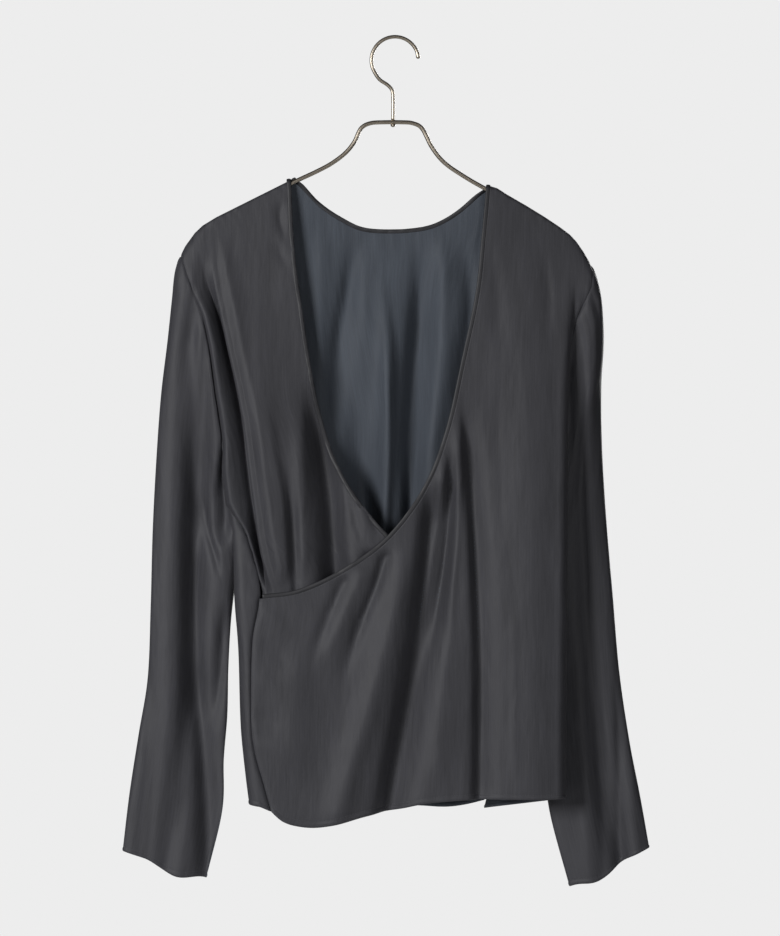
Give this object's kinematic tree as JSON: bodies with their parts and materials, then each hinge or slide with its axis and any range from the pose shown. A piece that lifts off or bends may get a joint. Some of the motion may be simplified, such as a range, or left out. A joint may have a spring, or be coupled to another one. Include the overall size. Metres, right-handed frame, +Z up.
{
  "type": "wrap top on a wire hanger",
  "caption": "Long-sleeved satin wrap top with a deep V neck and crossed fronts, hanging flat on a bent wire hanger.",
  "frame": {"origin": "inside of the top of the hanger's hook, where a rail carries it", "axes": "+Z up, +X to the viewer's right in front of the garment, -Y out of the front; the hanger lies in the plane Y = 0"},
  "size_m": [0.532, 0.0719, 0.857],
  "materials": {
    "satin": "charcoal satin weave, dull blue-grey reverse",
    "binding": "narrow rolled satin binding",
    "wire": "warm nickel plate, lightly brushed"
  },
  "bodies": {
    "root": {"back": "satin", "front_over": "satin", "front_under": "satin", "sleeve_left": "satin", "sleeve_right": "satin", "neck_binding_over": "binding", "neck_binding_under": "binding", "neck_binding_back": "binding", "hanger_bar": "wire", "hanger_hook": "wire", "hanger_rivet": "wire"}
  },
  "joints": []
}
